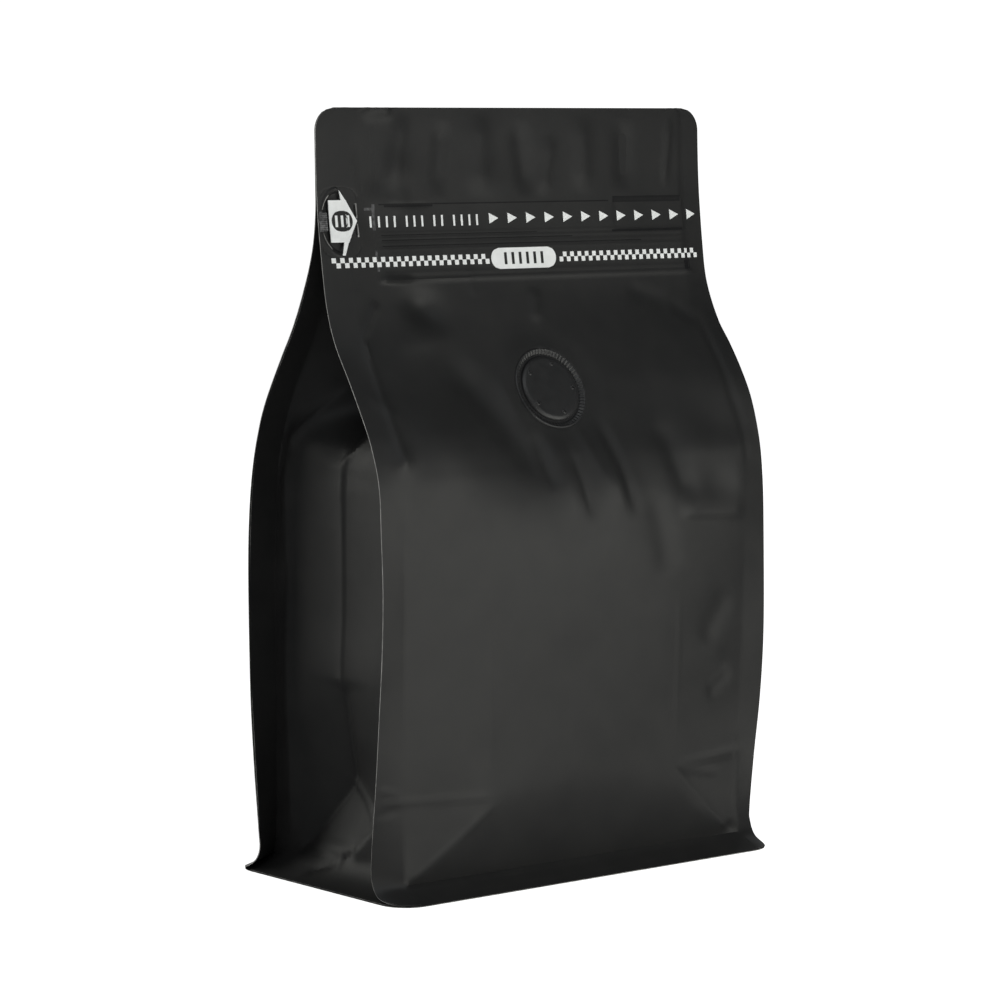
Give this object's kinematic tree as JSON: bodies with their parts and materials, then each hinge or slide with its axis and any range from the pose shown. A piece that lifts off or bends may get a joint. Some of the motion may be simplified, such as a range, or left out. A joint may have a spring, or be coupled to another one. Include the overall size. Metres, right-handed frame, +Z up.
{
  "type": "flat-bottom coffee bag",
  "caption": "Filled and shut film pouch with pleated sides, side seal fins, a sealed header with a pull tab, a one-way valve in front and a flat hemmed base that stands by itself.",
  "frame": {"origin": "on the ground plane, under the middle of the base", "axes": "+Z up to the header, +X to the right along the width as seen from in front, +Y to the back, so the valve and the print face -Y"},
  "size_m": [0.13, 0.0732, 0.1994],
  "materials": {
    "film": "matt black laminated film with a soft broad sheen",
    "valve_plastic": "matt black film pressed over a moulded plastic disc",
    "tab_print": "film printed matt white"
  },
  "bodies": {
    "root": {"pouch": "film", "valve": "valve_plastic", "pull_tab": "tab_print"}
  },
  "joints": []
}
